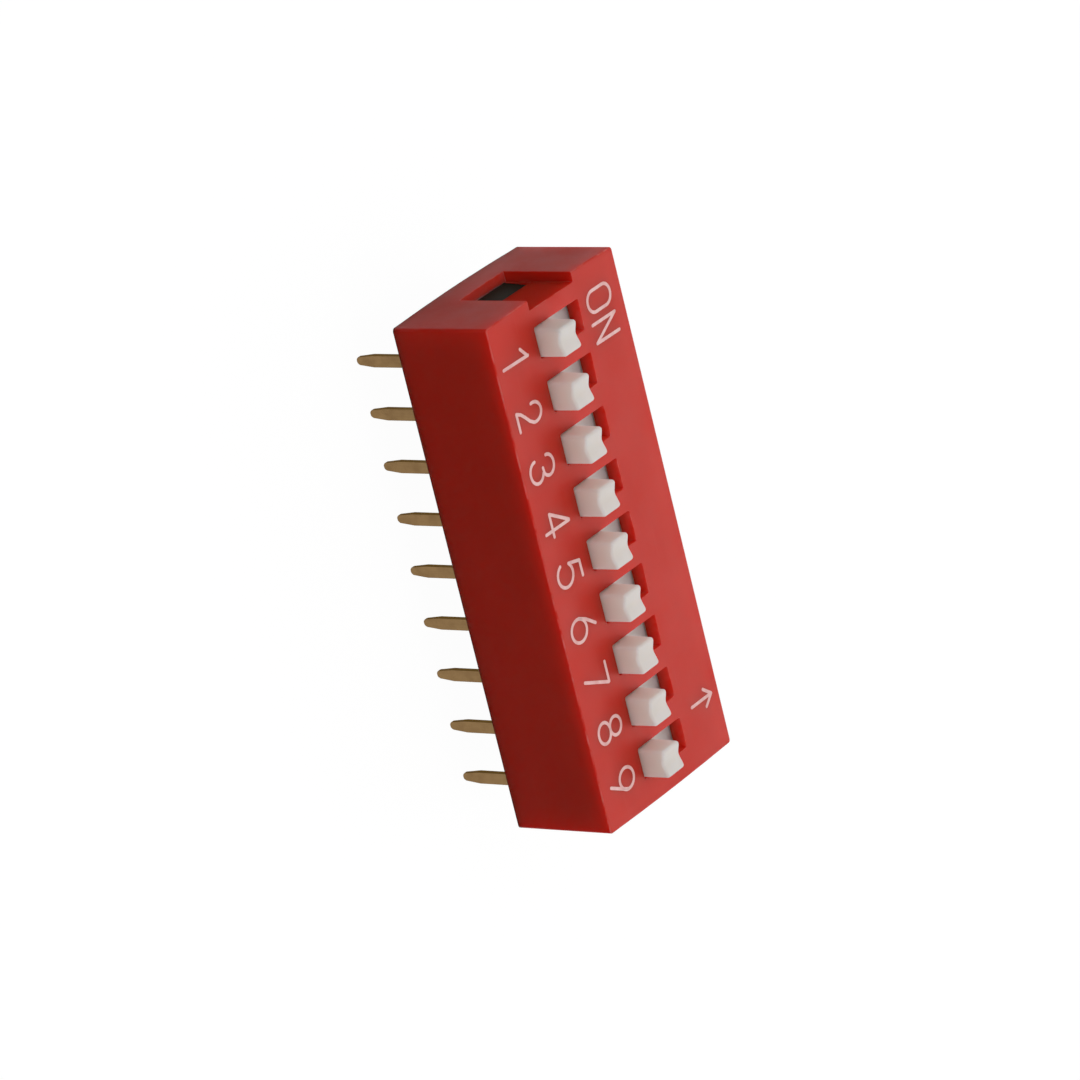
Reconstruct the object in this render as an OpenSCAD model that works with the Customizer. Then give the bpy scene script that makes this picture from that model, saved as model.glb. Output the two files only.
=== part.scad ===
// Through-hole slide DIP switch: a moulded cover snapped over a base, one slider and one
// spring contact for each position, and two rows of stamped terminals.
// +Z points out of the top face, +X runs from position 1 to the last position, and each
// slider moves towards +Y to switch on. The origin is the middle of the underside.

/* [Positions] */
// Number of switch positions
n_positions = 9; // [2:1:12]
// Distance between neighbouring positions
pitch = 2.54; // [2.3:0.01:3.2]
// Travel of a slider from off to on
travel = 2; // [1.5:0.05:2.3]

/* [Cover] */
// Height of the body above the board
body_h = 5.2; // [4.85:0.05:8]
// Width of the body across its two rows of pins
body_w = 9.7; // [9.1:0.01:18]
// Distance of each row of pins in from the long side; 1.04 sets the rows 7.62 apart
row_inset = 1.04; // [0.95:0.005:1.3]
// Thickness of the top wall
top_t = 0.7; // [0.4:0.05:0.8]
// Thickness of the two long side walls
side_wall = 0.56; // [0.4:0.02:0.64]
// Thickness of the two end walls
end_wall = 1.02; // [0.75:0.01:1.5]
// Thickness of the ribs between the positions
rib_t = 0.5; // [0.3:0.05:0.7]
// Radius of the cover's outer edges
edge_r = 0.1; // [0.04:0.01:0.25]
// Width of the rim that the recess shows beside its window
recess_rim = 0.075; // [0.02:0.005:0.5]
// Depth of the open recess in the end beside position 1
recess_d = 0.56; // [0.4:0.02:0.6]
// Height of the sill under each latch
sill_h = 1.45; // [0.8:0.05:1.6]
// Height of the window above each sill
window_h = 1.42; // [1:0.02:2.4]

/* [Sliders] */
// Width of a knob along the row
knob_w = 1.42; // [1:0.02:1.5]
// Length of a knob along its travel
knob_len = 1.3; // [1:0.05:1.5]
// Height of a knob above the cover
knob_h = 1.35; // [0.4:0.05:2]
// Amount by which each side of a knob leans in over its height
knob_lean_w = 0.05; // [0:0.01:0.1]
// Radius of a knob's top edges
knob_top_r = 0.15; // [0.1:0.01:0.25]
// Radius of a knob's upright edges
knob_side_r = 0.1; // [0.05:0.01:0.2]
// Depth of the finger groove along a knob's top
groove_d = 0.19; // [0.05:0.01:0.2]
// Flat left between the groove and the round edge beside it
groove_land = 0.04; // [0.02:0.01:0.1]
// Thickness of the flange that slides under the top wall
flange_t = 0.7; // [0.4:0.05:0.8]
// Overlap of the flange past the slot at each end of its travel
flange_past = 0.1; // [0:0.05:0.4]
// Wall around the pocket that holds the spring contact
skirt_wall = 0.25; // [0.2:0.05:0.4]

/* [Base] */
// Thickness of the base
base_h = 2; // [1.85:0.05:2.3]
// Width of the latch at each end
latch_w = 3.1; // [2:0.05:5]
// Distance of a latch's lower edge behind the end face
latch_set = 0.5; // [0.2:0.01:0.6]
// Depth of the well around each pin in the underside
well_d = 0.2; // [0.1:0.05:0.4]
// Width of the rim of each well around its pin
well_rim = 0.14; // [0.1:0.01:0.16]

/* [Contacts] */
// Thickness of a spring contact
contact_t = 0.12; // [0.08:0.01:0.16]
// Width of a spring contact
contact_w = 1; // [0.6:0.05:1.2]
// Height of a spring contact
contact_h = 1; // [0.85:0.05:1.15]
// Distance between the two feet of a spring contact
contact_span = 2; // [1.7:0.05:2.2]
// Radius of the feet of a spring contact
foot_r = 0.25; // [0.2:0.01:0.3]
// Radius of the bends beside the crown of a spring contact
crown_r = 0.2; // [0.15:0.01:0.25]
// Slope of the legs of a spring contact, in degrees
leg_angle = 60; // [50:1:70]

/* [Terminals] */
// Width of a pin along the row
pin_w = 0.56; // [0.4:0.02:0.7]
// Thickness of the terminal strip
pin_t = 0.27; // [0.2:0.01:0.35]
// Length of a pin below the body
pin_len = 3.3; // [2.5:0.1:5]
// Width of the rounded tip of a pin
tip_w = 0.4; // [0.2:0.02:0.4]
// Thickness of the coined tip of a pin
tip_t = 0.18; // [0.1:0.01:0.19]
// Length of the tapered end of a pin
taper_len = 0.95; // [0.4:0.05:1.5]
// Width of the contact pad of a terminal
pad_w = 1.1; // [0.8:0.05:1.5]
// Height of the shoulders under the contact pad
shoulder_h = 0.6; // [0.4:0.05:1]
// Gap between the two pads of one position
pad_gap = 0.6; // [0.4:0.05:0.7]
// Reach of the near pad past the inner foot
pad_past = 0.27; // [0.2:0.01:0.35]
// Inner radius of the bend between pin and pad
bend_r = 0.12; // [0.08:0.01:0.2]

/* [Clearances] */
// Gap between a slider and the walls around it
slide_gap = 0.05; // [0.03:0.01:0.08]
// Gap between a knob and each side of its slot
slot_gap = 0.03; // [0.03:0.01:0.08]
// Gap left at each end of a knob's travel
end_gap = 0.05; // [0.03:0.01:0.1]
// Gap between the base and the cover around it
base_gap = 0.05; // [0.02:0.01:0.08]
// Gap around a spring contact in its pocket
pocket_gap = 0.05; // [0.03:0.01:0.08]
// Gap between a spring contact's feet and the pads
contact_gap = 0.03; // [0.02:0.01:0.05]
// Gap between a slider's skirt and the base
skirt_gap = 0.2; // [0.1:0.05:0.3]
// Gap around a latch in its window
latch_gap = 0.05; // [0.03:0.01:0.08]

/* [Hidden] */
$fn = 48;
// Overrun of a cutting tool past the face that it opens
over = 1;
// Depth to which a latch is rooted in the base
root = 0.2;
// Direction in which the curl of a contact's foot ends, in degrees
curl_angle = -20;
// Plan of the body and of the space inside the cover
body_l = n_positions * pitch - rib_t + 2 * end_wall;
row_spacing = body_w - 2 * row_inset;
cavity_l = body_l - 2 * end_wall;
cavity_w = body_w - 2 * side_wall;
cell_w = pitch - rib_t;
base_l = cavity_l - 2 * base_gap;
base_w = cavity_w - 2 * base_gap;
// Heights above the board
roof_z = body_h - top_t;
flange_top = roof_z - slide_gap;
flange_z = flange_top - flange_t;
skirt_z = base_h + skirt_gap;
feet_z = base_h + contact_gap;
ceiling_z = feet_z + contact_h;
knob_top = body_h + knob_h;
latch_top = sill_h + window_h - latch_gap;
// Windows and recesses in the ends
window_w = latch_w + 2 * latch_gap;
recess_w = window_w + 2 * recess_rim;
// Slots, sliders and their rest places
slot_w = knob_w + 2 * slot_gap;
slot_len = knob_len + travel + 2 * end_gap;
flange_w = cell_w - 2 * slide_gap;
flange_len = slot_len + travel + 2 * flange_past;
slider_off_y = -travel / 2;
// Spring contact pocket
foot_reach = contact_span / 2 + foot_r + contact_t / 2;
pocket_len = 2 * (foot_reach + pocket_gap);
pocket_w = contact_w + 2 * pocket_gap;
skirt_len = pocket_len + 2 * skirt_wall;
// Spring contact: middle line of its crown and feet
foot_zc = feet_z + contact_t / 2 + foot_r;
crown_z = ceiling_z - contact_t / 2;
leg_end_angle = -90 - leg_angle;
leg_y = contact_span / 2 + foot_r * cos(leg_end_angle);
leg_z = foot_zc + foot_r * sin(leg_end_angle);
crown_y = leg_y - (crown_z - leg_z) / tan(leg_angle) - crown_r * tan(leg_angle / 2);
// Terminals
pin_out = row_spacing / 2 + pin_t / 2;
near_end = abs(travel - contact_span) / 2 + pad_past;
far_start = near_end + pad_gap;
near_len = pin_out + near_end;
far_len = pin_out - far_start;
well_w = pin_w + 2 * well_rim;
well_len = pin_t + 2 * well_rim;

// Place of a switch position along the row
function pos_x(i) = (i - (n_positions + 1) / 2) * pitch;
// Points of an arc in the plane of a profile
function arc(c, r, a0, a1, steps = 6) =
    [for (k = [0 : steps]) let (a = a0 + (a1 - a0) * k / steps) c + r * [cos(a), sin(a)]];
// The same points on the other side of the middle line, in the opposite order
function mirrored(pts) = [for (k = [len(pts) - 1 : -1 : 0]) [-pts[k][0], pts[k][1]]];
// Terminals are numbered as on an integrated circuit: along -Y, then back along +Y
function terminal_x(k) = pos_x(k <= n_positions ? k : 2 * n_positions + 1 - k);

// Extrudes a profile drawn in Y and Z along X, about the middle
module along_x(length) {
    rotate([90, 0, 90]) translate([0, 0, -length / 2]) linear_extrude(length) children();
}

// Extrudes a profile drawn in X and Z along Y, about the middle
module along_y(length) {
    rotate([90, 0, 0]) translate([0, 0, -length / 2]) linear_extrude(length) children();
}

// A block that stands on the given height, centred on the origin
module block(size, z = 0) {
    translate([-size[0] / 2, -size[1] / 2, z]) cube(size);
}

// A rectangle with four round corners
module rounded_plate(w, d, r) {
    square([w - 2 * r, d], center = true);
    square([w, d - 2 * r], center = true);
    for (x = [-1, 1], y = [-1, 1]) translate([x * (w / 2 - r), y * (d / 2 - r)]) circle(r);
}

// An upright profile with round top corners
module rounded_top(w, h, r) {
    translate([-w / 2, 0]) square([w, h - r]);
    translate([-w / 2 + r, 0]) square([w - 2 * r, h]);
    for (x = [-1, 1]) translate([x * (w / 2 - r), h - r]) circle(r);
}

// ---- Cover ----

module cover_block() {
    intersection() {
        linear_extrude(body_h) rounded_plate(body_l, body_w, edge_r);
        along_x(body_l + over) rounded_top(body_w, body_h, edge_r);
        along_y(body_w + over) rounded_top(body_l, body_h, edge_r);
    }
}

// Window through the +X end wall for the latch
module end_window() {
    translate([cavity_l / 2 - over, -window_w / 2, sill_h])
        cube([end_wall + 2 * over, window_w, window_h]);
}

// Recess in the -X end above the sill, open at the top
module end_recess() {
    translate([-body_l / 2 - over, -recess_w / 2, sill_h])
        cube([recess_d + over, recess_w, body_h]);
}

module cover() {
    color("#b8362e")
    difference() {
        cover_block();
        block([cavity_l, cavity_w, base_h + over], -over);
        for (i = [1 : n_positions]) translate([pos_x(i), 0, 0]) {
            block([cell_w, cavity_w, roof_z - base_h + over], base_h - over);
            block([slot_w, slot_len, top_t + 2 * over], roof_z - over);
        }
        for (m = [0, 1]) mirror([m, 0, 0]) end_window();
        end_recess();
    }
}

// ---- Base ----

// Latch at the +X end: its flat underside sits on the sill and its face slopes back upwards
module latch() {
    root_x = base_l / 2 - root;
    low_x = body_l / 2 - latch_set;
    high_x = body_l / 2 - recess_d - latch_gap;
    along_y(latch_w)
        polygon([
            [root_x, sill_h], [low_x, sill_h], [high_x, latch_top],
            [cavity_l / 2, latch_top], [cavity_l / 2, base_h], [root_x, base_h]
        ]);
}

module base() {
    color("#24231f")
    difference() {
        union() {
            block([base_l, base_w, base_h]);
            for (m = [0, 1]) mirror([m, 0, 0]) latch();
        }
        for (k = [1 : 2 * n_positions]) {
            terminal_solid(k);
            pin_y = (k <= n_positions ? -1 : 1) * row_spacing / 2;
            translate([terminal_x(k), pin_y, 0]) block([well_w, well_len, well_d + over], -over);
        }
    }
}

// ---- Sliders ----

// Front of a knob: leaning sides, round top edges and the finger groove
module knob_front() {
    h = knob_top - flange_z;
    top_w = knob_w - 2 * knob_lean_w;
    chord = top_w - 2 * (knob_top_r + groove_land);
    groove_r = (chord * chord / 4 + groove_d * groove_d) / (2 * groove_d);
    difference() {
        union() {
            polygon([
                [-knob_w / 2, 0], [knob_w / 2, 0],
                [top_w / 2, h - knob_top_r], [-top_w / 2, h - knob_top_r]
            ]);
            translate([-top_w / 2 + knob_top_r, 0]) square([top_w - 2 * knob_top_r, h]);
            for (x = [-1, 1]) translate([x * (top_w / 2 - knob_top_r), h - knob_top_r])
                circle(knob_top_r);
        }
        translate([0, h - groove_d + groove_r]) circle(groove_r);
    }
}

module knob() {
    translate([0, 0, flange_z])
    intersection() {
        along_y(knob_len + over) knob_front();
        along_x(knob_w + over) rounded_top(knob_len, knob_top - flange_z, knob_top_r);
        linear_extrude(knob_top) rounded_plate(knob_w, knob_len, knob_side_r);
    }
}

module slider(i) {
    color("#d9d2c8")
    translate([pos_x(i), slider_off_y, 0])
    difference() {
        union() {
            knob();
            block([flange_w, flange_len, flange_t], flange_z);
            block([flange_w, skirt_len, flange_z - skirt_z + flange_t / 2], skirt_z);
        }
        block([pocket_w, pocket_len, ceiling_z - skirt_z + over], skirt_z - over);
    }
}

// ---- Spring contacts ----

// Bowed strip with a flat crown and two curled feet, drawn in Y and Z
module contact_profile() {
    half = contact_t / 2;
    foot_c = [contact_span / 2, foot_zc];
    crown_c = [crown_y, crown_z - crown_r];
    under = concat(
        arc(crown_c, crown_r - half, 90, 90 - leg_angle),
        arc(foot_c, foot_r + half, leg_end_angle, curl_angle)
    );
    above = concat(
        arc(foot_c, foot_r - half, curl_angle, leg_end_angle),
        arc(crown_c, crown_r + half, 90 - leg_angle, 90)
    );
    polygon(concat(under, above, mirrored(above), mirrored(under)));
}

module contact(i) {
    color("#c9a24a")
    translate([pos_x(i), slider_off_y, 0]) along_x(contact_w) contact_profile();
}

// ---- Terminals ----

// Side view of a terminal: coined tip, pin, bend and contact pad, from the outer face inwards
module terminal_side(reach) {
    lean = (pin_t - tip_t) / 2;
    outer_r = bend_r + pin_t;
    polygon([
        [lean, -pin_len], [pin_t - lean, -pin_len], [pin_t, taper_len - pin_len],
        [pin_t, base_h - outer_r], [0, base_h - outer_r], [0, taper_len - pin_len]
    ]);
    translate([outer_r, base_h - pin_t]) square([reach - outer_r, pin_t]);
    translate([outer_r, base_h - outer_r])
    difference() {
        circle(outer_r);
        circle(bend_r);
        translate([0, -outer_r]) square([outer_r, 2 * outer_r]);
        translate([-outer_r, -outer_r]) square([2 * outer_r, outer_r]);
    }
}

// Front view of a terminal: round tip, taper, pin and shoulders
module terminal_front() {
    tip_r = tip_w / 2;
    translate([0, tip_r - pin_len]) circle(tip_r);
    polygon([
        [-tip_r, tip_r - pin_len], [tip_r, tip_r - pin_len],
        [pin_w / 2, taper_len - pin_len], [-pin_w / 2, taper_len - pin_len]
    ]);
    translate([-pin_w / 2, taper_len - pin_len]) square([pin_w, pin_len - taper_len + base_h]);
    translate([-pad_w / 2, base_h - shoulder_h]) square([pad_w, shoulder_h]);
}

module terminal_solid(k) {
    near = k <= n_positions;
    reach = near ? near_len : far_len;
    translate([terminal_x(k), 0, 0])
    mirror([0, near ? 0 : 1, 0])
    translate([0, -pin_out, 0])
    intersection() {
        along_x(pad_w + over) terminal_side(reach);
        along_y(2 * reach + over) terminal_front();
    }
}

module terminal(k) {
    color("#b08d57") terminal_solid(k);
}

cover();
base();
for (i = [1 : n_positions]) {
    slider(i);
    contact(i);
}
for (k = [1 : 2 * n_positions]) {
    terminal(k);
}
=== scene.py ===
# %% [markdown]
# # A nine-way DIP switch, close up
# The part is a small slide switch for a circuit board: a red moulded cover over a black base, nine
# white sliders in its slots and two rows of stamped pins. It is only 24 mm long, so what makes it
# look real is small: the round of each moulded edge, the grain of the plastic, the thin ink.
#
# The imported CAD model gives the main sizes and places. It is loaded first and never moved; the
# pieces made below either stand in for one of its solids or, like the ink, are added to it.

# %% Load the imported model
import math

import bmesh
import bpy
from mathutils import Matrix, Vector


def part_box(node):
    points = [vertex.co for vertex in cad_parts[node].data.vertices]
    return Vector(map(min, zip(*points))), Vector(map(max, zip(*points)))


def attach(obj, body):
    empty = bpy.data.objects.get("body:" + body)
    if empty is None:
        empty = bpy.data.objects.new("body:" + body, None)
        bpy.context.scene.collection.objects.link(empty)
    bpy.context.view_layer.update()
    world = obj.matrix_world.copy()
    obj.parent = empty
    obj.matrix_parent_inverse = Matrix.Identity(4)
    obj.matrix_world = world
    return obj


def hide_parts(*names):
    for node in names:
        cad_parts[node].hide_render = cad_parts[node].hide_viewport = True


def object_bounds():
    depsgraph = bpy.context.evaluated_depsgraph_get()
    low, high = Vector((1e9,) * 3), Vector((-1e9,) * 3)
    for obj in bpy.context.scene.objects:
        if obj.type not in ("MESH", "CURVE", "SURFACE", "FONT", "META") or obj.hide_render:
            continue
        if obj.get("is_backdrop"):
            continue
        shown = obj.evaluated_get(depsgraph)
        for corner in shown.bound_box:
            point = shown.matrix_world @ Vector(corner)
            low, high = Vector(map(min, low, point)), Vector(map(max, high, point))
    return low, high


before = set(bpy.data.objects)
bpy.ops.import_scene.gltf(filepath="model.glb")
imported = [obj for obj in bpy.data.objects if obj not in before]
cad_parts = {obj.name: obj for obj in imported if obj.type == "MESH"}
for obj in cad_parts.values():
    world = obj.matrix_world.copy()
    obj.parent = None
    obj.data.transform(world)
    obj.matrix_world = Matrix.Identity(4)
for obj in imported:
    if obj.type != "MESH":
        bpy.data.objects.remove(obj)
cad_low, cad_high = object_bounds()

MM = 0.001
n_positions = sum(name.startswith("slider_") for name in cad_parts)
cover_low, cover_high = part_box("cover")
top_z = cover_high.z
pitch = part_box("slider_2")[0].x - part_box("slider_1")[0].x
print("positions", n_positions, "pitch", round(pitch / MM, 3), "mm, cover top", round(top_z / MM, 3))

# %% [markdown]
# ## Working by hand, in code
# Each piece is made as it would be on screen: a primitive is added at its size and place, faces or
# edges are picked, and an operator shapes them. An operator acts on everything that is selected,
# and the loaded model arrives selected, so each helper first clears the selection.
# Picking is done by a rule on a face's or edge's place, which goes on working when a size changes.

# %% Selecting and settling
slack = 0.01  # how far off its place a picked part may lie, in millimetres


def clear_selection():
    if bpy.context.mode != "OBJECT":
        bpy.ops.object.mode_set(mode="OBJECT")
    bpy.ops.object.select_all(action="DESELECT")


def work_on(piece):
    clear_selection()
    piece.select_set(True)
    bpy.context.view_layer.objects.active = piece


def settle(piece):
    """Moves the object's place, turn and scale into its mesh."""
    work_on(piece)
    bpy.ops.object.transform_apply(location=True, rotation=True, scale=True)
    return piece


def pick(piece, kind, rule):
    """Opens the piece in edit mode with only the parts selected that the rule accepts."""
    work_on(piece)
    bpy.ops.object.mode_set(mode="EDIT")
    bpy.ops.mesh.select_mode(type=kind)
    bpy.ops.mesh.select_all(action="DESELECT")
    mesh = bmesh.from_edit_mesh(piece.data)
    parts = {"VERT": mesh.verts, "EDGE": mesh.edges, "FACE": mesh.faces}[kind]
    chosen = [part for part in parts if rule(part)]
    for part in chosen:
        part.select_set(True)
    bmesh.update_edit_mesh(piece.data)
    return len(chosen)


def done():
    bpy.ops.object.mode_set(mode="OBJECT")


def facing(direction):
    """A rule that accepts the faces that look the given way."""
    way = Vector(direction).normalized()
    return lambda face: face.normal.dot(way) > 0.999


def middle(edge):
    return (edge.verts[0].co + edge.verts[1].co) / 2


def runs_along(edge, axis):
    step = edge.verts[1].co - edge.verts[0].co
    return abs(step[axis]) > 0.999 * step.length


# %% Blocks, modifiers and cutters
def add_block(name, low, high):
    """A box between two corners, given in millimetres."""
    low, high = Vector(low) * MM, Vector(high) * MM
    clear_selection()
    bpy.ops.mesh.primitive_cube_add(size=1, location=(low + high) / 2)
    piece = bpy.context.object
    piece.name = piece.data.name = name
    piece.scale = high - low
    return settle(piece)


def apply_modifier(piece, kind, **settings):
    work_on(piece)
    modifier = piece.modifiers.new(kind, kind)
    for key, value in settings.items():
        setattr(modifier, key, value)
    bpy.ops.object.modifier_apply(modifier=modifier.name)


def combine(piece, tool, operation="DIFFERENCE"):
    """Cuts the tool out of the piece, or joins it on, and throws the tool away."""
    apply_modifier(piece, "BOOLEAN", object=tool, operation=operation, solver="EXACT")
    bpy.data.objects.remove(tool, do_unlink=True)


def in_a_row(piece, count=n_positions):
    """Repeats a tool along the row, one for each position."""
    apply_modifier(
        piece, "ARRAY", count=count, use_relative_offset=False,
        use_constant_offset=True, constant_offset_displace=(pitch, 0, 0),
    )
    return piece


def clean(piece):
    """Merges doubles and takes out the edges that a cut leaves across a flat face."""
    pick(piece, "VERT", lambda vert: True)
    bpy.ops.mesh.remove_doubles(threshold=1e-7)
    bpy.ops.mesh.select_all(action="SELECT")
    bpy.ops.mesh.dissolve_limited(angle_limit=math.radians(0.5))
    bpy.ops.mesh.select_all(action="SELECT")
    bpy.ops.mesh.normals_make_consistent(inside=False)
    done()


def soften(piece, width, segments=2, angle=30, rule=lambda edge: True):
    """Rounds the edges that are sharper than the angle and that the rule accepts."""
    sharp = math.radians(angle)
    count = pick(
        piece, "EDGE", lambda edge: edge.is_manifold and edge.calc_face_angle() > sharp and rule(edge))
    bpy.ops.mesh.bevel(offset=width * MM, segments=segments, affect="EDGES", clamp_overlap=False)
    done()
    return count


def smooth(piece, angle=50):
    work_on(piece)
    bpy.ops.object.shade_smooth_by_angle(angle=math.radians(angle))
    apply_modifier(piece, "WEIGHTED_NORMAL", keep_sharp=True, weight=50)


def copy_piece(piece, name, shift):
    """A copy with a mesh of its own, moved along by its place in the row."""
    twin = piece.copy()
    twin.data = piece.data.copy()
    twin.name = twin.data.name = name
    bpy.context.scene.collection.objects.link(twin)
    twin.location = shift
    return settle(twin)


def position_x(i):
    """Middle of position i along the row, in millimetres."""
    return (i - (n_positions + 1) / 2) * pitch / MM


# %% [markdown]
# ## The camera
# The switch is seen from above its off side, turned so that the row runs up the picture. A long
# lens keeps the row's edges almost parallel, as a close-up of so small a thing needs. It is placed
# first.
# The turn about the line of sight is put in after aiming, since a camera aimed by direction alone
# always stands upright.

# %% Place the camera
camera_data = bpy.data.cameras.new("camera")
camera = bpy.data.objects.new("camera", camera_data)
bpy.context.scene.collection.objects.link(camera)
bpy.context.scene.camera = camera
camera_data.sensor_width = 36
camera_data.lens = 235.089
camera_data.clip_start = 0.01
aim, distance = Vector((0.308, 0.5006, 0.76)) * MM, 0.3154203
swing, lift, roll = math.radians(-25.1263), math.radians(37.551), math.radians(91.9726)
away = Vector((math.sin(swing) * math.cos(lift), -math.cos(swing) * math.cos(lift), math.sin(lift)))
turn = (-away).to_track_quat("-Z", "Y").to_matrix() @ Matrix.Rotation(roll, 3, "Z")
camera.matrix_world = Matrix.Translation(aim + away * distance) @ turn.to_4x4()
print("camera at", [round(v / MM, 1) for v in camera.matrix_world.translation], "mm")

# %% [markdown]
# ## The cover
# The real cover is one injection moulding, open below. Its nine slots have crisp rims and hardly
# rounded corners, its outer edges have a small round, and at the end beside position 1 a recess
# shows the latch of the base in a window. Extruding all that by hand would be long, so a block gets
# its outer rounds first and is then cut with a few tools: the hollow, a cell and a slot for each
# position, and the end openings. The tools for the row are made once and repeated by an Array
# modifier.

# %% Block with rounded outer edges
body_l, body_w, body_h = ((cover_high - cover_low) / MM)[:]
half_l, half_w = body_l / 2, body_w / 2
corner_round, rim_round, rim_soft, foot_soft, bow = 0.16, 0.08, 0.03, 0.012, 0.08

cover = add_block("moulded_cover", (bow - half_l, -half_w, 0), (half_l - bow, half_w, body_h))
pick(cover, "EDGE", lambda edge: runs_along(edge, 2))
bpy.ops.mesh.bevel(offset=corner_round * MM, segments=5, affect="EDGES")
pick(cover, "EDGE", lambda edge: all(vert.co.z > 0.999 * top_z for vert in edge.verts))
bpy.ops.mesh.bevel(offset=rim_round * MM, segments=4, affect="EDGES")
done()
print("cover block", len(cover.data.polygons), "faces")

# %% Hollow, cells and slots
past = 1.0  # how far a cutting tool stands out past the face that it cuts
rib_t, end_wall, side_wall, top_t = 0.5, 1.02, 0.56, 0.7
base_h, cell_dip = 2.0, 0.5
slot_w, slot_len, slot_shift, slot_round, slot_dip = 1.48, 3.4, 0.03, 0.08, 0.3
roof_z = body_h - top_t
cavity_l, cavity_w = body_l - 2 * end_wall, body_w - 2 * side_wall
cell_w = pitch / MM - rib_t
x1 = position_x(1)

combine(cover, add_block(
    "hollow", (-cavity_l / 2, -cavity_w / 2, -past), (cavity_l / 2, cavity_w / 2, base_h)))
combine(cover, in_a_row(add_block(
    "cell", (x1 - cell_w / 2, -cavity_w / 2, base_h - cell_dip),
    (x1 + cell_w / 2, cavity_w / 2, roof_z))))
slot = add_block(
    "slot", (x1 - slot_w / 2, slot_shift - slot_len / 2, roof_z - slot_dip),
    (x1 + slot_w / 2, slot_len / 2, body_h + past))
soften(slot, slot_round, segments=3, rule=lambda edge: runs_along(edge, 2))
combine(cover, in_a_row(slot))
print("slots", n_positions, "of", slot_w, "by", slot_len, "mm")

# %% Latch windows and the open recess
latch_w, latch_gap, recess_rim, recess_d = 3.1, 0.05, 0.075, 0.56
sill_h, window_h, window_root = 1.45, 1.42, 0.5
window_w = latch_w + 2 * latch_gap
recess_w = window_w + 2 * recess_rim

for side in (-1, 1):
    inner, outer = side * (cavity_l / 2 - window_root), side * (half_l + past)
    combine(cover, add_block(
        "window", (min(inner, outer), -window_w / 2, sill_h),
        (max(inner, outer), window_w / 2, sill_h + window_h)))
combine(cover, add_block(
    "recess", (-half_l - past, -recess_w / 2, sill_h),
    (-half_l + recess_d, recess_w / 2, body_h + past)))
clean(cover)


def on_the_outside(edge):
    """True for the rims of slots, recess and windows, but not for the edges hidden inside."""
    spot = middle(edge) / MM
    at_top = spot.z > body_h - rim_round - 3 * slack
    at_end = abs(spot.x) > half_l - recess_d - slack and spot.z > sill_h - slack
    return at_top or at_end


count = soften(cover, rim_soft, rule=on_the_outside)
count += soften(cover, foot_soft, rule=lambda edge: middle(edge).z < slack * MM)
print("cover", len(cover.data.polygons), "faces,", count, "rim edges rounded")

# %% [markdown]
# The end walls of the real cover stand a little proud in their middle, where the latches push them
# out, and more so at the end that the recess weakens. Each end wall is cut into upright strips, and
# its middle line is pulled outwards with proportional editing, whose inverse square falloff draws a
# shallow arch. Everything else is hidden first, because proportional editing also carries along
# whatever stands near and is not hidden.

# %% Bowed end walls
strip_edges, bow_reach = (-4.1, -3.3, -2.5, -0.85, 0, 0.85, 2.5, 3.3, 4.1), 4.4
far_bow = 0.7 * bow
for side, pull in ((-1, bow), (1, far_bow)):
    in_wall = lambda vert: side * vert.co.x > (cavity_l / 2 + 2 * slack) * MM
    strip = lambda face: side * face.calc_center_median().x > (cavity_l / 2 + slack) * MM
    pick(cover, "FACE", lambda face: True)
    bpy.ops.mesh.bisect(plane_co=(side * cavity_l / 2 * MM, 0, 0), plane_no=(1, 0, 0))
    done()
    for y in strip_edges:
        pick(cover, "FACE", strip)
        bpy.ops.mesh.bisect(plane_co=(0, y * MM, 0), plane_no=(0, 1, 0))
        done()
    pick(cover, "VERT", in_wall)
    bpy.ops.mesh.hide(unselected=True)
    done()
    count = pick(cover, "VERT", lambda vert: in_wall(vert) and abs(vert.co.y) < slack * MM)
    bpy.ops.transform.translate(
        value=(side * pull * MM, 0, 0), use_proportional_edit=True,
        proportional_edit_falloff="INVERSE_SQUARE", proportional_size=bow_reach * MM)
    bpy.ops.mesh.reveal(select=False)
    done()
    reach = max(side * vert.co.x for vert in cover.data.vertices)
    print("end", side, "pulled at", count, "points, now reaches", round(reach / MM, 3), "mm")
smooth(cover)

# %% [markdown]
# ## One slider
# A slider is a small knob on a flange, with a pocket below for its spring. The knob leans in
# slightly so that it leaves its mould, and a shallow groove along its top takes a pen or a
# fingernail. It is so small that its soft edges take up most of it.
# The knob is a block whose top is drawn in and whose edges are rounded. It is then cut into narrow
# slices, and the middle line of its top is pressed down with proportional editing: the smooth
# falloff gives the groove and its worn ridges in one soft wave, where a cut with a cylinder would
# leave two crisp lines. Last, the knob is joined to the flange and the skirt.

# %% Knob with its lean and groove
knob_w, knob_len, knob_h, knob_lean = 1.42, 1.3, 1.35, 0.05
groove_d, groove_reach, groove_cuts = 0.14, 0.58, 12
knob_round, upright_round = 0.14, 0.15
travel, slide_gap, flange_t, knob_root = 2.0, 0.05, 0.7, 0.5
knob_top = body_h + knob_h
flange_top = roof_z - slide_gap
flange_z = flange_top - flange_t
rest_y = -travel / 2

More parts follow.
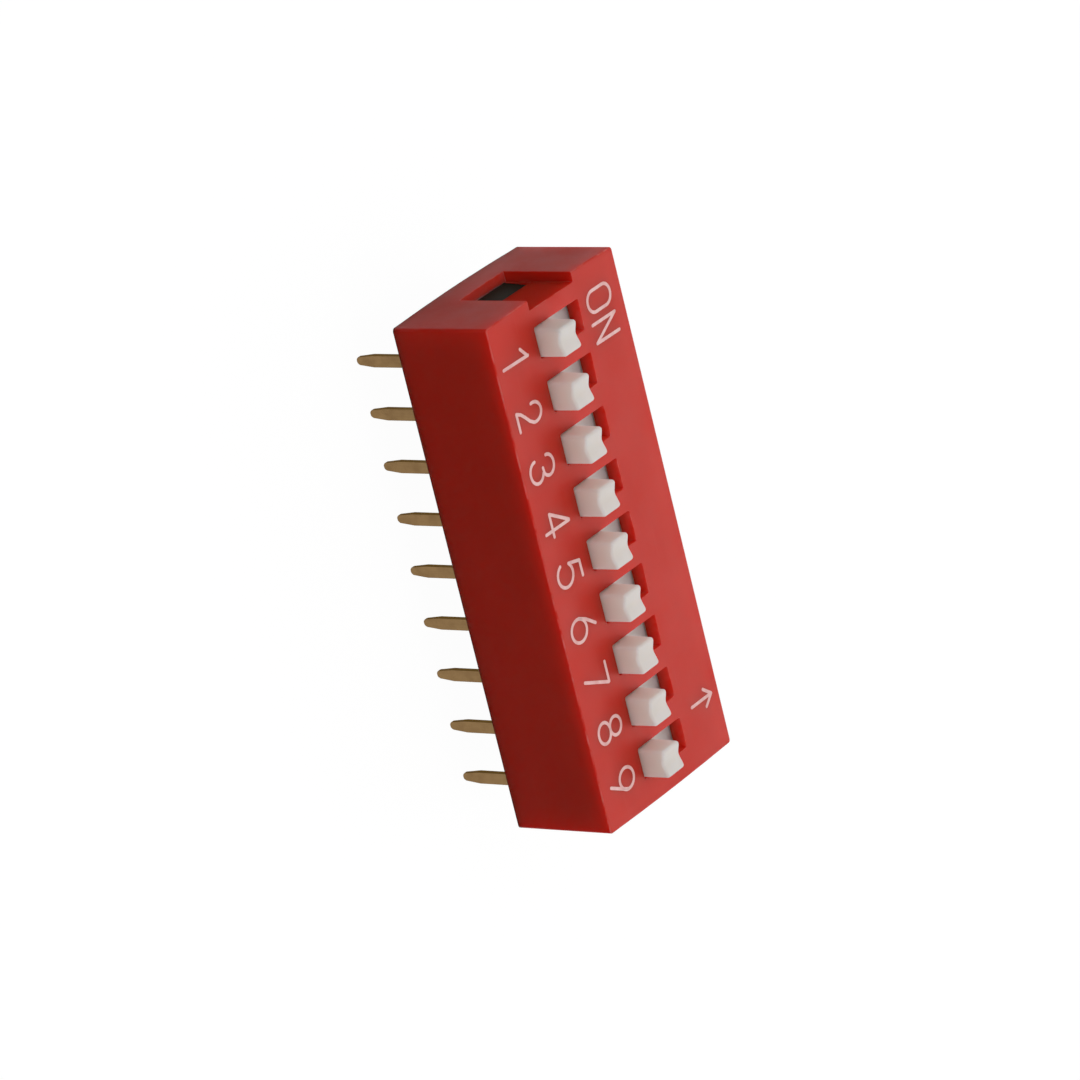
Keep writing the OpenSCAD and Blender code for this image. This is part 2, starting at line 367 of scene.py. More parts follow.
knob = add_block(
    "knob", (x1 - knob_w / 2, rest_y - knob_len / 2, flange_top - knob_root),
    (x1 + knob_w / 2, rest_y + knob_len / 2, knob_top))
pick(knob, "FACE", facing((0, 0, 1)))
bpy.ops.transform.resize(
    value=(1 - 2 * knob_lean / knob_w, 1, 1), center_override=Vector((x1, rest_y, knob_top)) * MM)
pick(knob, "EDGE", lambda edge: abs((edge.verts[1].co - edge.verts[0].co).z) > MM)
bpy.ops.mesh.bevel(offset=upright_round * MM, segments=6, affect="EDGES")
pick(knob, "EDGE", lambda edge: all(vert.co.z > (knob_top - slack) * MM for vert in edge.verts))
bpy.ops.mesh.bevel(offset=knob_round * MM, segments=6, affect="EDGES")
for step in range(-groove_cuts, groove_cuts + 1):
    pick(knob, "FACE", lambda face: True)
    bpy.ops.mesh.bisect(
        plane_co=((x1 + step * groove_reach / groove_cuts) * MM, 0, 0), plane_no=(1, 0, 0),
        threshold=1e-7)
in_round = lambda vert: vert.co.z > (knob_top - knob_round - slack) * MM
pick(knob, "VERT", in_round)
bpy.ops.mesh.hide(unselected=True)
done()
count = pick(knob, "VERT", lambda vert: in_round(vert) and abs(vert.co.x - x1 * MM) < slack * MM)
bpy.ops.transform.translate(
    value=(0, 0, -groove_d * MM), use_proportional_edit=True,
    proportional_edit_falloff="SMOOTH", proportional_size=groove_reach * MM)
bpy.ops.mesh.reveal(select=False)
done()
print("knob", len(knob.data.polygons), "faces, groove pressed at", count, "points")

# %% Flange, skirt and spring pocket
pocket_w, pocket_len, pocket_top = 1.1, 2.72, 3.03
pocket_wall, skirt_gap, skirt_sink = 0.25, 0.2, 0.3
flange_past, slider_soft = 0.1, 0.035
flange_w, flange_len = cell_w - 2 * slide_gap, slot_len + travel + 2 * flange_past
skirt_z, skirt_len = base_h + skirt_gap, pocket_len + 2 * pocket_wall


def centred(name, width, length, low, high):
    """A block centred on the slider of position 1."""
    return add_block(
        name, (x1 - width / 2, rest_y - length / 2, low), (x1 + width / 2, rest_y + length / 2, high))


slider = centred("slider", flange_w, flange_len, flange_z, flange_top)
combine(slider, centred("skirt", flange_w, skirt_len, skirt_z, flange_z + skirt_sink), "UNION")
combine(slider, centred("pocket", pocket_w, pocket_len, skirt_z - past, pocket_top))
clean(slider)
soften(slider, slider_soft)
combine(slider, knob, "UNION")
smooth(slider)

sliders = []
for i in range(1, n_positions + 1):
    sliders.append(copy_piece(slider, f"white_slider_{i}", ((position_x(i) - x1) * MM, 0, 0)))
bpy.data.objects.remove(slider, do_unlink=True)
print("slider", len(sliders[0].data.polygons), "faces, copied", len(sliders), "times")

# %% [markdown]
# ## The terminals
# Each terminal is stamped from a flat strip: a tapered pin with a coined, rounded tip, wider
# shoulders that stop it in the base, and a bend that lays its upper end flat as a contact pad.
# It grows from a short block: its lower face is extruded and drawn in step by step for the taper
# and the tip, its upper face is spun a quarter turn for the bend. The round of the tip stops just
# short of a quarter circle, so that a small flat end is left, and the step out to the shoulders is
# an extrusion of a hair's breadth. A last fine bevel gives the rolled edge that a punch leaves.

# %% One terminal of each row
pin_w, pin_t, pin_len, taper_len = 0.56, 0.27, 3.3, 0.95
tip_w, tip_t, tip_steps, tip_turn, step_thinner, end_thinner = 0.4, 0.2, 6, 88, 0.985, 0.8
pad_w, pad_past_middle, pad_apart = 1.1, 0.27, 0.6
shoulder_h, bend_r, bend_steps, punch_soft, hair = 0.6, 0.12, 8, 0.025, 0.0001
row_y = 3.81
pin_out = row_y + pin_t / 2


def grow(piece, way, length, width=1.0, depth=1.0):
    """Extrudes the end face that looks the given way and draws it in or out across."""
    way = Vector(way)
    looks_out = facing(way)
    reach = max(face.center.dot(way) for face in piece.data.polygons) - 1e-8
    pick(piece, "FACE", lambda face: looks_out(face) and face.calc_center_median().dot(way) > reach)
    bpy.ops.mesh.extrude_region_move(TRANSFORM_OT_translate={"value": way * length * MM})
    if (width, depth) != (1.0, 1.0):
        spot = sum((v.co for v in bmesh.from_edit_mesh(piece.data).verts if v.select), Vector()) / 4
        bpy.ops.transform.resize(value=(width, depth, 1), center_override=spot)
    done()


def make_terminal(name, reach):
    """A terminal of position 1 in the near row, with its pad reaching this far inwards."""
    y0, y1 = -pin_out, -pin_out + pin_t
    tip_r = tip_w / 2
    pin_top = base_h - shoulder_h
    pin = add_block(
        name, (x1 - pin_w / 2, y0, taper_len - pin_len), (x1 + pin_w / 2, y1, pin_top))
    grow(pin, (0, 0, -1), taper_len - tip_r, tip_w / pin_w, tip_t / pin_t)
    turns = [math.radians(tip_turn * k / tip_steps) for k in range(tip_steps + 1)]
    for before, after in zip(turns, turns[1:]):
        narrower = math.cos(after) / math.cos(before)
        thinner = step_thinner if after < turns[-1] else end_thinner
        grow(pin, (0, 0, -1), tip_r * (math.sin(after) - math.sin(before)), narrower, thinner)
    grow(pin, (0, 0, 1), hair, pad_w / pin_w)
    bend_z = base_h - bend_r - pin_t
    grow(pin, (0, 0, 1), bend_z - pin_top)
    looks_up = facing((0, 0, 1))
    end_z = (bend_z - 0.001) * MM
    pick(pin, "FACE", lambda face: looks_up(face) and face.calc_center_median().z > end_z)
    bpy.ops.mesh.spin(
        steps=bend_steps, angle=math.pi / 2, axis=(1, 0, 0),
        center=Vector((x1, y1 + bend_r, bend_z)) * MM)
    done()
    grow(pin, (0, 1, 0), reach - bend_r - pin_t)
    clean(pin)
    soften(pin, punch_soft, angle=40)
    smooth(pin)
    return pin


near_terminal = make_terminal("near", pin_out + pad_past_middle)
far_terminal = make_terminal("far", pin_out - pad_past_middle - pad_apart)
far_terminal.scale.y = -1
settle(far_terminal)
pick(far_terminal, "FACE", lambda face: True)
bpy.ops.mesh.normals_make_consistent(inside=False)
done()
smooth(far_terminal)

terminals = []
for k in range(1, 2 * n_positions + 1):
    near = k <= n_positions
    i = k if near else 2 * n_positions + 1 - k
    pattern = near_terminal if near else far_terminal
    shift = ((position_x(i) - x1) * MM, 0, 0)
    terminals.append(copy_piece(pattern, f"stamped_terminal_{k}", shift))
low = min(v.co.z for v in terminals[0].data.vertices)
print("terminals", len(terminals), "lowest point", round(low / MM, 3), "mm")

# %% [markdown]
# ## The base
# The base is a flat black block inside the cover. At each end a wedge, the latch, snaps into the
# window, and the underside has a small well around each pin, which keeps solder flux out, and the
# round marks of the pins that push it out of its mould.
# Block, wedges and wells again come from cut and joined blocks, with the row's wells repeated.
# The plastic was moulded around the terminals, so the two pattern terminals, repeated along their
# rows, are the last tools that cut it. They are lifted by a hair for that, so that the pads break
# through the top face instead of leaving a skin that is thinner than any real one.

# %% Block, latches, wells and ejector marks
base_gap, latch_set, latch_root = 0.05, 0.5, 0.2
base_l, base_w = cavity_l - 2 * base_gap, cavity_w - 2 * base_gap
latch_top = sill_h + window_h - latch_gap
well_w, well_len, well_d = 0.84, 0.55, 0.2
mark_r, mark_d, terminal_lift = 0.6, 0.05, 0.002

base = add_block("black_base", (-base_l / 2, -base_w / 2, 0), (base_l / 2, base_w / 2, base_h))
for side in (-1, 1):
    low_x, high_x = side * (half_l - latch_set), side * (half_l - recess_d - latch_gap)
    root_x = side * (base_l / 2 - latch_root)
    wedge = add_block(
        "latch", (min(root_x, low_x), -latch_w / 2, sill_h),
        (max(root_x, low_x), latch_w / 2, latch_top))
    outer_x, upper_z = abs(low_x) * 0.999 * MM, latch_top * 0.999 * MM
    pick(wedge, "VERT", lambda vert: abs(vert.co.x) > outer_x and vert.co.z > upper_z)
    bpy.ops.transform.translate(value=((high_x - low_x) * MM, 0, 0))
    done()
    combine(base, wedge, "UNION")
for y in (-row_y, row_y):
    combine(base, in_a_row(add_block(
        "well", (x1 - well_w / 2, y - well_len / 2, -past),
        (x1 + well_w / 2, y + well_len / 2, well_d))))
for i in (2, 5, 8):
    clear_selection()
    bpy.ops.mesh.primitive_cylinder_add(
        vertices=48, radius=mark_r * MM, depth=2 * mark_d * MM, location=(position_x(i) * MM, 0, 0))
    combine(base, settle(bpy.context.object))
for pattern in (near_terminal, far_terminal):
    pattern.location.z = terminal_lift * MM
    combine(base, in_a_row(settle(pattern)))
clean(base)


def at_foot_or_latch(edge):
    spot = middle(edge) / MM
    return spot.z < slack or abs(spot.x) > base_l / 2


soften(base, rim_soft, rule=at_foot_or_latch)
smooth(base)
print("base", len(base.data.polygons), "faces")

# %% [markdown]
# ## The ink
# The marks are pad printed: single strokes with round ends, in an ink film a few thousandths of a
# millimetre thick. A curve with a round bevel draws such a stroke well, and squashed almost flat
# it becomes the film. Radii that shrink along a quarter circle close its ends round.
# Strokes are written as short runs of points and arcs in millimetres from the middle of their
# position, so that the shape of each figure can be read from its line.

# %% Drawing a stroke of ink
stroke_w, film_t = 0.155, 0.012


def arc(cx, cy, rx, ry, start, end, steps=20):
    turns = [math.radians(start + (end - start) * k / steps) for k in range(steps + 1)]
    return [(cx + rx * math.cos(a), cy + ry * math.sin(a)) for a in turns]


def capped(points):
    """The stroke's points with their radii, with a round cap at each end."""
    run = [(Vector((x, y, 0)), 1.0) for x, y in points]
    caps = [math.radians(a) for a in (25, 45, 62, 77, 90)]
    for _ in range(2):
        end, before = run[-1][0], run[-2][0]
        out = (end - before).normalized() * stroke_w / 2
        run += [(end + out * math.sin(a), max(math.cos(a), 0.02)) for a in caps]
        run.reverse()
    return run


def print_mark(name, strokes, place):
    """Makes one printed mark from its strokes, flattened onto the top of the cover."""
    curve = bpy.data.curves.new(name, "CURVE")
    curve.dimensions = "3D"
    curve.bevel_depth = stroke_w / 2 * MM
    curve.bevel_resolution = 5
    for points in strokes:
        closed = (Vector(points[0]) - Vector(points[-1])).length < 1e-6
        run = [(Vector((x, y, 0)), 1.0) for x, y in points[:-1]] if closed else capped(points)
        spline = curve.splines.new("POLY")
        spline.points.add(len(run) - 1)
        spline.use_cyclic_u = closed
        for point, (spot, radius) in zip(spline.points, run):
            point.co = (*(spot * MM), 1)
            point.radius = radius
    mark = bpy.data.objects.new(name, curve)
    bpy.context.scene.collection.objects.link(mark)
    work_on(mark)
    bpy.ops.object.convert(target="MESH")
    mark = bpy.context.object
    mark.data.name = name
    mark.scale.z = film_t / stroke_w
    mark.location = (place[0] * MM, place[1] * MM, top_z)
    settle(mark)
    pick(mark, "FACE", lambda face: True)
    bpy.ops.mesh.remove_doubles(threshold=1e-8)
    bpy.ops.mesh.normals_make_consistent(inside=False)
    done()
    work_on(mark)
    bpy.ops.object.shade_smooth_by_angle(angle=math.radians(40))
    return mark


# %% The figures 1 to 9
digit_y, word_y, arrow_y, arrow_shift = -3.35, 3.15, 3.45, -0.75
digits = {
    1: [[(0.19, 0.83), (0.16, -1.0)], [(0.17, 0.78), (-0.26, 0.4)]],
    2: [arc(0.12, 0.33, 0.44, 0.5, 192, -20)
        + [(0.37, -0.1), (0.12, -0.33), (-0.13, -0.6), (-0.26, -0.87)],
        [(-0.26, -0.89), (0.58, -0.89)]],
    3: [arc(0.1, 0.37, 0.47, 0.43, 180, -55) + [(0.1, -0.01)],
        [(0.3, 0.0)] + arc(0.13, -0.48, 0.5, 0.46, 66, -180)],
    4: [[(0.38, 0.86), (-0.37, -0.36)], [(-0.37, -0.37), (0.7, -0.37)], [(0.41, 0.86), (0.4, -0.88)]],
    5: [[(0.54, 0.89), (-0.19, 0.88)], [(-0.19, 0.88), (-0.36, 0.12)],
        arc(0.05, -0.27, 0.55, 0.56, 138, -156)],
    6: [arc(0.19, -0.27, 0.53, 0.56, 0, 360, 32), [(-0.33, -0.13), (-0.12, 0.33), (0.33, 0.94)]],
    7: [[(-0.34, 0.89), (0.62, 0.89)], [(0.63, 0.86), (-0.04, -0.76)]],
    8: [arc(0.1, 0.58, 0.43, 0.41, 0, 360, 32), arc(0.1, -0.27, 0.49, 0.44, 0, 360, 32)],
    9: [arc(0.1, 0.46, 0.5, 0.53, 0, 360, 32), [(0.6, 0.43), (0.48, 0.13), (0.02, -0.76)]],
}
marks = [print_mark(f"ink_{i}", digits[i], (position_x(i), digit_y)) for i in digits]
print("figures", len(marks))

# %% The word ON and an arrow that points to it
on_strokes = [
    arc(-0.18, 0.4, 0.49, 0.46, 180, 0) + arc(-0.18, -0.4, 0.49, 0.46, 0, -180) + [(-0.67, 0.4)],
    [(0.79, -0.88), (0.8, 0.84)], [(0.8, 0.84), (1.66, -0.84)], [(1.66, -0.84), (1.68, 0.88)],
]
arrow_strokes = [[(0, -0.75), (0, 0.8)], [(-0.42, 0.3), (0, 0.83)], [(0, 0.83), (0.42, 0.3)]]
marks.append(print_mark("ink_on", on_strokes, (position_x(1), word_y)))
marks.append(print_mark("ink_arrow", arrow_strokes, (position_x(9) + arrow_shift, arrow_y)))
print("marks", [mark.name for mark in marks])

# %% [markdown]
# ## Shared effects for the finishes
# Moulded plastic is never one even colour. Up close it has a fine grain from the tool's surface,
# slow drifts of tone where the melt flowed, and light marks from use: hairline scratches and
# smudges. Its rounded rims are also painted paler in patches, partly as wear and partly as a painted
# highlight along the edges. The plastics, the ink and the metals here need the same
# effects at different strengths, so each is built once as a node group that gives only masks and
# heights, and every material mixes them in by its own values.
# A rim is told by its normal: on a rounded edge it points neither straight up nor straight out.
# Object coordinates are in metres, so the groups first turn them into millimetres.

# %% Node helpers
def add_node(tree, kind, values=None, **settings):
    node = tree.nodes.new(kind)
    for key, value in settings.items():
        setattr(node, key, value)
    for socket, value in (values or {}).items():
        if isinstance(value, bpy.types.NodeSocket):
            tree.links.new(value, node.inputs[socket])
        else:
            node.inputs[socket].default_value = value
    return node


def new_group(name, inputs, outputs):
    group = bpy.data.node_groups.new(name, "ShaderNodeTree")
    for label, value in inputs.items():
        socket = group.interface.new_socket(name=label, in_out="INPUT", socket_type="NodeSocketFloat")
        socket.default_value = value
    for label in outputs:
        group.interface.new_socket(name=label, in_out="OUTPUT", socket_type="NodeSocketFloat")
    start, end = group.nodes.new("NodeGroupInput"), group.nodes.new("NodeGroupOutput")
    coords = add_node(group, "ShaderNodeTexCoord")
    mm = add_node(
        group, "ShaderNodeVectorMath", {0: coords.outputs["Object"], "Scale": 1 / MM},
        operation="SCALE")
    return group, start.outputs, end.inputs, mm.outputs[0]


def use_group(tree, group, **values):
    """Puts a shared effect into a material, with that material's own values."""
    node = add_node(tree, "ShaderNodeGroup", node_tree=group)
    for label, value in values.items():
        node.inputs[label.replace("_", " ")].default_value = value
    return node


def multiply(tree, first, second):
    return add_node(tree, "ShaderNodeMath", {0: first, 1: second}, operation="MULTIPLY").outputs[0]


def spread(group, value, low, high, to_low=0.0, to_high=1.0):
    """Maps a band of a mask onto a new range, with both ends held."""
    return add_node(group, "ShaderNodeMapRange", {
        "Value": value, "From Min": low, "From Max": high, "To Min": to_low, "To Max": to_high,
    }).outputs["Result"]


# %% Moulded grain: spark-eroded tool texture and melt flow
grain, given, out, mm = new_group(
    "moulded grain", {"Grain per mm": 16.0, "Flow per mm": 0.25}, ("Height", "Flow"))
fine = add_node(grain, "ShaderNodeTexNoise", {
    "Vector": mm, "Scale": given["Grain per mm"], "Detail": 3.0, "Roughness": 0.6})
drawn = add_node(grain, "ShaderNodeMapping", {"Vector": mm, "Scale": (0.45, 1.3, 1.0)})
flow = add_node(grain, "ShaderNodeTexNoise", {
    "Vector": drawn.outputs[0], "Scale": given["Flow per mm"], "Detail": 4.0, "Distortion": 0.6})
grain.links.new(fine.outputs[0], out["Height"])
grain.links.new(flow.outputs[0], out["Flow"])
print("group", grain.name, "with", len(grain.nodes), "nodes")

# %% Scratches, smudges, and pale rims that are partly wear and partly a painted highlight
handling_and_rim_highlight, given, out, mm = new_group(
    "handling_and_rim_highlight", {"Scratches per mm": 0.9, "Smudge per mm": 0.4}, ("Scratch", "Smudge", "Rim wear and highlight"))
tilted = add_node(handling_and_rim_highlight, "ShaderNodeMapping", {
    "Vector": mm, "Rotation": (0.3, 0.2, 0.9), "Scale": (0.16, 5.0, 1.0)})
streaks = add_node(handling_and_rim_highlight, "ShaderNodeTexNoise", {
    "Vector": tilted.outputs[0], "Scale": given["Scratches per mm"], "Detail": 2.0, "Distortion": 0.3})
smudges = add_node(handling_and_rim_highlight, "ShaderNodeTexNoise", {
    "Vector": mm, "Scale": given["Smudge per mm"], "Detail": 5.0, "Roughness": 0.65})
handling_and_rim_highlight.links.new(spread(handling_and_rim_highlight, streaks.outputs[0], 0.66, 0.74), out["Scratch"])
handling_and_rim_highlight.links.new(spread(handling_and_rim_highlight, smudges.outputs[0], 0.4, 0.75), out["Smudge"])
# Rim mask: rounded edges paled in patches, partly as wear and partly as a painted highlight.
coords = add_node(handling_and_rim_highlight, "ShaderNodeTexCoord")
turned = add_node(handling_and_rim_highlight, "ShaderNodeSeparateXYZ", {0: coords.outputs["Normal"]})
tilt = add_node(handling_and_rim_highlight, "ShaderNodeMath", {0: turned.outputs["Z"]}, operation="ABSOLUTE").outputs[0]
on_round = multiply(handling_and_rim_highlight, spread(handling_and_rim_highlight, tilt, 0.1, 0.4), spread(handling_and_rim_highlight, tilt, 0.99, 0.85))
patches = add_node(handling_and_rim_highlight, "ShaderNodeTexNoise", {"Vector": mm, "Scale": 1.4, "Detail": 2.0})
rim_wear_and_highlight = spread(handling_and_rim_highlight, patches.outputs[0], 0.4, 0.7)
handling_and_rim_highlight.links.new(multiply(handling_and_rim_highlight, on_round, rim_wear_and_highlight), out["Rim wear and highlight"])
print("group", handling_and_rim_highlight.name, "with", len(handling_and_rim_highlight.nodes), "nodes")

# %% [markdown]
# ## The finishes
# Each material keeps its own Principled shader, and the groups feed its colour, roughness and
# bump. Red light travels far inside the red plastic and other colours hardly at all, so strong
# scattering makes its upper edges glow, and its low gloss keeps the shaded side deep. The sliders
# are nylon, in which all light spreads: they look soft and pick up the red around them. The pins
# are a dull gold-coloured plating, brushed along the strip by rolling. Their edges and sides, which
# turn away from the flat faces, are painted darker as shade.

# %% Building a plastic
def new_material(name, **sockets):
    material = bpy.data.materials.new(name)
    material.use_nodes = True
    shader = material.node_tree.nodes["Principled BSDF"]
    for label, value in sockets.items():
        shader.inputs[label.replace("_", " ")].default_value = value
    return material, material.node_tree, shader


def mix_colours(tree, factor, first, second):
    node = add_node(tree, "ShaderNodeMix", {0: factor, 6: first, 7: second}, data_type="RGBA")
    return node.outputs[2]


def plastic(name, colour, deeper, pale_wear_and_highlight, rough, grain_um, **sockets):
    """A moulded plastic: two tones along the flow, pale scratches, rims paled as wear and as a painted
    highlight, a fine grain.
    """
    scratch_strength, rim_paling, smoother, rougher = 0.08, 0.13, 0.05, 0.07
    material, tree, shader = new_material(name, **sockets)
    skin = use_group(tree, grain, Grain_per_mm=16.0, Flow_per_mm=0.25)
    touch = use_group(tree, handling_and_rim_highlight, Scratches_per_mm=0.9, Smudge_per_mm=0.4)
    drift = spread(tree, skin.outputs["Flow"], 0.35, 0.65)
    toned = mix_colours(tree, drift, (*deeper, 1), (*colour, 1))
    scratch = multiply(tree, touch.outputs["Scratch"], scratch_strength)
    scratched = mix_colours(tree, scratch, toned, (*pale_wear_and_highlight, 1))
    # Rims pale towards white in patches: partly wear, partly a painted highlight on the edges.
    pale_rim_colour = tuple(channel + rim_paling * (max(pale_wear_and_highlight) - channel) for channel in pale_wear_and_highlight)
    rim_wear_and_highlight = mix_colours(tree, touch.outputs["Rim wear and highlight"], scratched, (*pale_rim_colour, 1))
    tree.links.new(rim_wear_and_highlight, shader.inputs["Base Color"])
    gloss = spread(tree, touch.outputs["Smudge"], 0, 1, rough - smoother, rough + rougher)
    tree.links.new(gloss, shader.inputs["Roughness"])
    bump = add_node(tree, "ShaderNodeBump", {
        "Height": skin.outputs["Height"], "Distance": grain_um * MM * MM, "Strength": 1.0})
    tree.links.new(bump.outputs[0], shader.inputs["Normal"])
    return material


# %% Red, black and white plastics
red = plastic(
    "red_plastic", (0.65, 0.031, 0.016), (0.61, 0.028, 0.014), (0.69, 0.08, 0.06),
    rough=0.5, grain_um=3.0,
    Specular_IOR_Level=0.15, Subsurface_Weight=1.0, Subsurface_Radius=(1.0, 0.05, 0.03),
    Subsurface_Scale=2.0 * MM)
# A shaded copy of the red for the recess walls: a little darker and without shine, as painted shade.
shaded_recess_red = plastic(
    "dull_red_plastic", (0.62, 0.03, 0.016), (0.59, 0.027, 0.014), (0.66, 0.07, 0.05),
    rough=0.7, grain_um=4.0,
    Specular_IOR_Level=0.0, Subsurface_Weight=1.0, Subsurface_Radius=(1.0, 0.05, 0.03),
    Subsurface_Scale=2.0 * MM)
black = plastic(
    "black_plastic", (0.018, 0.016, 0.010), (0.014, 0.012, 0.008), (0.05, 0.045, 0.035),
    rough=0.6, grain_um=3.0, Specular_IOR_Level=0.05)
white = plastic(
    "white_nylon", (0.80, 0.775, 0.71), (0.77, 0.74, 0.67), (0.83, 0.81, 0.77),
    rough=0.45, grain_um=1.5,
    Specular_IOR_Level=0.1, Subsurface_Weight=0.8, Subsurface_Radius=(1.0, 0.85, 0.75),
    Subsurface_Scale=2.5 * MM)
print("plastics", red.name, shaded_recess_red.name, black.name, white.name)

# %% Pale printed ink
ink, tree, shader = new_material("pale_ink", Roughness=0.6, Specular_IOR_Level=0.3)
full_ink, thin_ink, ink_grain_um = (0.96, 0.61, 0.59, 1), (0.84, 0.43, 0.41, 1), 2.0
skin = use_group(tree, grain, Grain_per_mm=9.0, Flow_per_mm=1.4)
thin = spread(tree, skin.outputs["Flow"], 0.35, 0.7)
tree.links.new(mix_colours(tree, thin, full_ink, thin_ink), shader.inputs["Base Color"])
bump = add_node(tree, "ShaderNodeBump", {
    "Height": skin.outputs["Height"], "Distance": ink_grain_um * MM * MM, "Strength": 1.0})
tree.links.new(bump.outputs[0], shader.inputs["Normal"])
print("ink", ink.name, "with", len(tree.nodes), "nodes")

# %% Plated strip and spring
def metal(name, colour, dull, rough, along, tint=(1, 1, 1), painted_edge_shade=0.0):
    """Rolled and plated strip: fine streaks along one axis, dull patches and painted shade on the
    edges.
    """
    streaks_per_mm, streak_um, edge_shade_depth, smoother, rougher = 24.0, 1.5, 0.4, 0.06, 0.1
    material, tree, shader = new_material(name, Metallic=1.0, Specular_Tint=(*tint, 1))
    touch = use_group(tree, handling_and_rim_highlight, Scratches_per_mm=2.0, Smudge_per_mm=1.3)
    coords = add_node(tree, "ShaderNodeTexCoord")
    squeeze = tuple((1.0 if axis == along else streaks_per_mm) / MM for axis in range(3))
    rolled = add_node(tree, "ShaderNodeMapping", {"Vector": coords.outputs["Object"], "Scale": squeeze})
    streaks = add_node(tree, "ShaderNodeTexNoise", {
        "Vector": rolled.outputs[0], "Scale": 1.0, "Detail": 3.0})
    plated = mix_colours(tree, touch.outputs["Smudge"], (*colour, 1), (*dull, 1))
    # Painted shade: the edges and sides, turned away from the flat faces, are mixed towards a darker
    # colour.
    turned = add_node(tree, "ShaderNodeSeparateXYZ", {0: coords.outputs["Normal"]})
    flat = add_node(tree, "ShaderNodeMath", {0: turned.outputs["Y"]}, operation="ABSOLUTE")
    edge_shade_mask = spread(tree, flat.outputs[0], 0.4, 0.97, painted_edge_shade, 0.0)
    edge_shade_colour = tuple(edge_shade_depth * channel for channel in dull)
    tree.links.new(mix_colours(tree, edge_shade_mask, plated, (*edge_shade_colour, 1)), shader.inputs["Base Color"])
    gloss = spread(tree, streaks.outputs[0], 0.3, 0.7, rough - smoother, rough + rougher)
    tree.links.new(gloss, shader.inputs["Roughness"])
    bump = add_node(tree, "ShaderNodeBump", {
        "Height": streaks.outputs[0], "Distance": streak_um * MM * MM, "Strength": 1.0})
    tree.links.new(bump.outputs[0], shader.inputs["Normal"])
    return material


plating = metal(
    "dull_gold_plating", (0.285, 0.178, 0.081), (0.215, 0.128, 0.057),
    rough=0.4, along=2, tint=(0.75, 0.6, 0.42), painted_edge_shade=1.0)
spring = metal("spring_bronze", (0.70, 0.50, 0.22), (0.58, 0.38, 0.16), rough=0.28, along=1)
print("metals", plating.name, spring.name)

# %% [markdown]
# ## Dressing the model
# Each new piece gets its finish, rides on the body that it belongs to and hides the solid that it
# stands for. The ink stands for no solid, so it only rides on the housing. The spring contacts are
# sealed inside and their CAD shape is right, so those solids stay and only get the spring bronze.
# The walls of the open recess get a second red on the same mesh: the cover's red a little darker
# and without shine, as painted shade where the recess lies in shadow.

# %% Finishes, bodies and stand-ins
def in_recess(face):
    """True for the back and the side walls of the open recess, above its window."""
    spot = face.calc_center_median() / MM
    deep = -half_l + 5 * slack < spot.x < -half_l + recess_d + 2 * slack
    upright = abs(face.normal.z) < 0.5
    above = spot.z > sill_h + window_h - 5 * slack
    return deep and upright and above and abs(spot.y) < recess_w / 2 + slack


def dress(piece, material, body, node_name=None):
    piece.data.materials.clear()
    piece.data.materials.append(material)
    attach(piece, body)
    if node_name:
        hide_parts(node_name)


dress(cover, red, "housing", "cover")
dress(base, black, "housing", "base")
# Painted shade: the walls of the recess take the darker red without shine.
cover.data.materials.append(shaded_recess_red)
count = pick(cover, "FACE", in_recess)
cover.active_material_index = 1
bpy.ops.object.material_slot_assign()
done()
print("recess faces with the duller finish", count)
for i, piece in enumerate(sliders, 1):
    dress(piece, white, f"switch_{i}", f"slider_{i}")
for k, piece in enumerate(terminals, 1):
    dress(piece, plating, "housing", f"terminal_{k}")
for mark in marks:
    dress(mark, ink, "housing")
for name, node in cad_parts.items():
    if name.startswith("contact_"):
        node.data.materials.clear()
        node.data.materials.append(spring)
print("dressed", 2 + len(sliders) + len(terminals) + len(marks), "pieces")

# %% [markdown]
# ## Floor and light
# The switch lies in a light tent: an even white fill from all round keeps the shadows soft and
# weak. A large lamp overhead makes the top the brightest face, and a smaller one behind gives the
# top its sheen. Lamps here are small and close, because the switch is, and their power is set so
# that a colour renders about as it is written. The floor returns little of that light, so the near
# side stays deep red. Floor and sky add their own white only for rays that come from the camera or
# off a shine, so the background is white without lighting the switch.

# %% White floor and sky
def seen_directly(tree):
    """1 for camera, glossy and transmission rays, 0 for the light that falls on the switch."""
    path = add_node(tree, "ShaderNodeLightPath")
    both = add_node(tree, "ShaderNodeMath", {
        0: path.outputs["Is Camera Ray"], 1: path.outputs["Is Glossy Ray"]}, operation="MAXIMUM")
    return add_node(tree, "ShaderNodeMath", {
        0: both.outputs[0], 1: path.outputs["Is Transmission Ray"]}, operation="MAXIMUM").outputs[0]


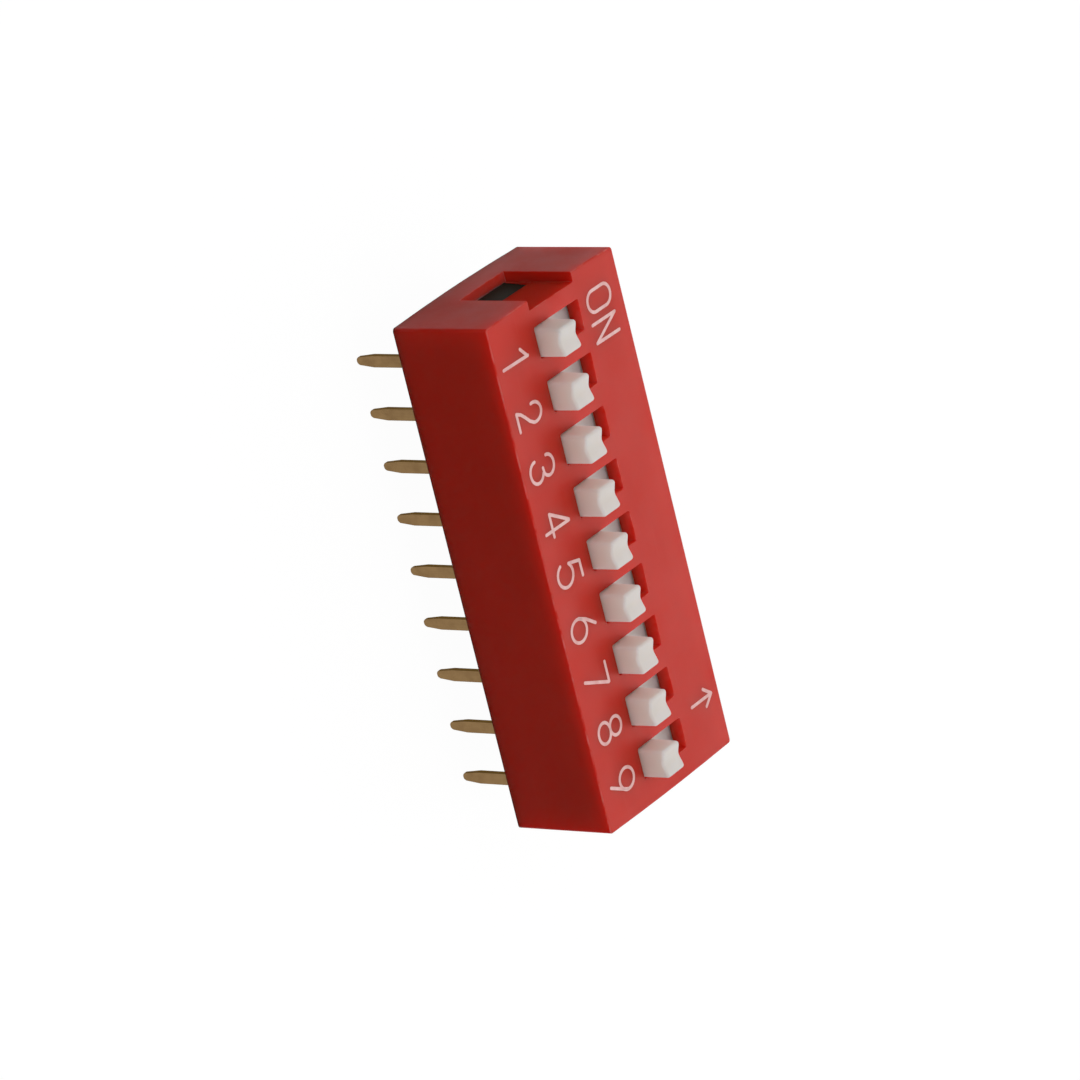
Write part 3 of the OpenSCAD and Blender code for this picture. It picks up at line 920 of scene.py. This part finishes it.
floor_size, floor_white, fill = 1.2, 0.97, 0.56
clear_selection()
bpy.ops.mesh.primitive_plane_add(size=floor_size, location=(0, 0, cad_low.z))
floor = bpy.context.object
floor.name = "tabletop"
floor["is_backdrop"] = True
tabletop, tree, shader = new_material("white_tabletop", Roughness=0.9, Specular_IOR_Level=0.0)
mottle = add_node(tree, "ShaderNodeTexNoise", {"Scale": 40.0, "Detail": 2.0})
tree.links.new(
    mix_colours(tree, mottle.outputs[0], (0.04, 0.04, 0.04, 1), (0.05, 0.05, 0.05, 1)),
    shader.inputs["Base Color"])
shader.inputs["Emission Color"].default_value = (1, 1, 1, 1)
tree.links.new(multiply(tree, seen_directly(tree), floor_white), shader.inputs["Emission Strength"])
below = add_node(tree, "ShaderNodeNewGeometry")
mixer = add_node(tree, "ShaderNodeMixShader", {
    0: below.outputs["Backfacing"], 1: shader.outputs[0],
    2: add_node(tree, "ShaderNodeBsdfTransparent").outputs[0]})
tree.links.new(mixer.outputs[0], tree.nodes["Material Output"].inputs["Surface"])
floor.data.materials.append(tabletop)

sky = bpy.data.worlds.new("studio")
bpy.context.scene.world = sky
sky.use_nodes = True
tree = sky.node_tree
level = spread(tree, seen_directly(tree), 0, 1, fill, 1.0)
tree.links.new(level, tree.nodes["Background"].inputs["Strength"])
tree.nodes["Background"].inputs["Color"].default_value = (1, 1, 1, 1)
print("floor at", round(cad_low.z / MM, 2), "mm, fill", fill)


# %% Soft lamps
def softbox(name, direction, distance, size, power):
    lamp = bpy.data.lights.new(name, "AREA")
    lamp.shape, lamp.size, lamp.energy = "SQUARE", size, power
    holder = bpy.data.objects.new(name, lamp)
    way = Vector(direction).normalized()
    holder.matrix_world = (
        Matrix.Translation(way * distance) @ (-way).to_track_quat("-Z", "Y").to_matrix().to_4x4())
    bpy.context.scene.collection.objects.link(holder)
    return holder


softbox("overhead", (0.05, -0.1, 0.98), distance=0.36, size=0.4, power=0.26)
softbox("back light", (0.34, 0.72, 0.61), distance=0.45, size=0.2, power=0.3)

# %% Colour settings and sizes
bpy.context.scene.view_settings.view_transform = "Standard"
new_low, new_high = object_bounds()
sizes = {"cad": [list(cad_low), list(cad_high)], "visual": [list(new_low), list(new_high)]}
for name, (low, high) in sizes.items():
    print(name, "box", [round(v / MM, 3) for v in low], [round(v / MM, 3) for v in high])
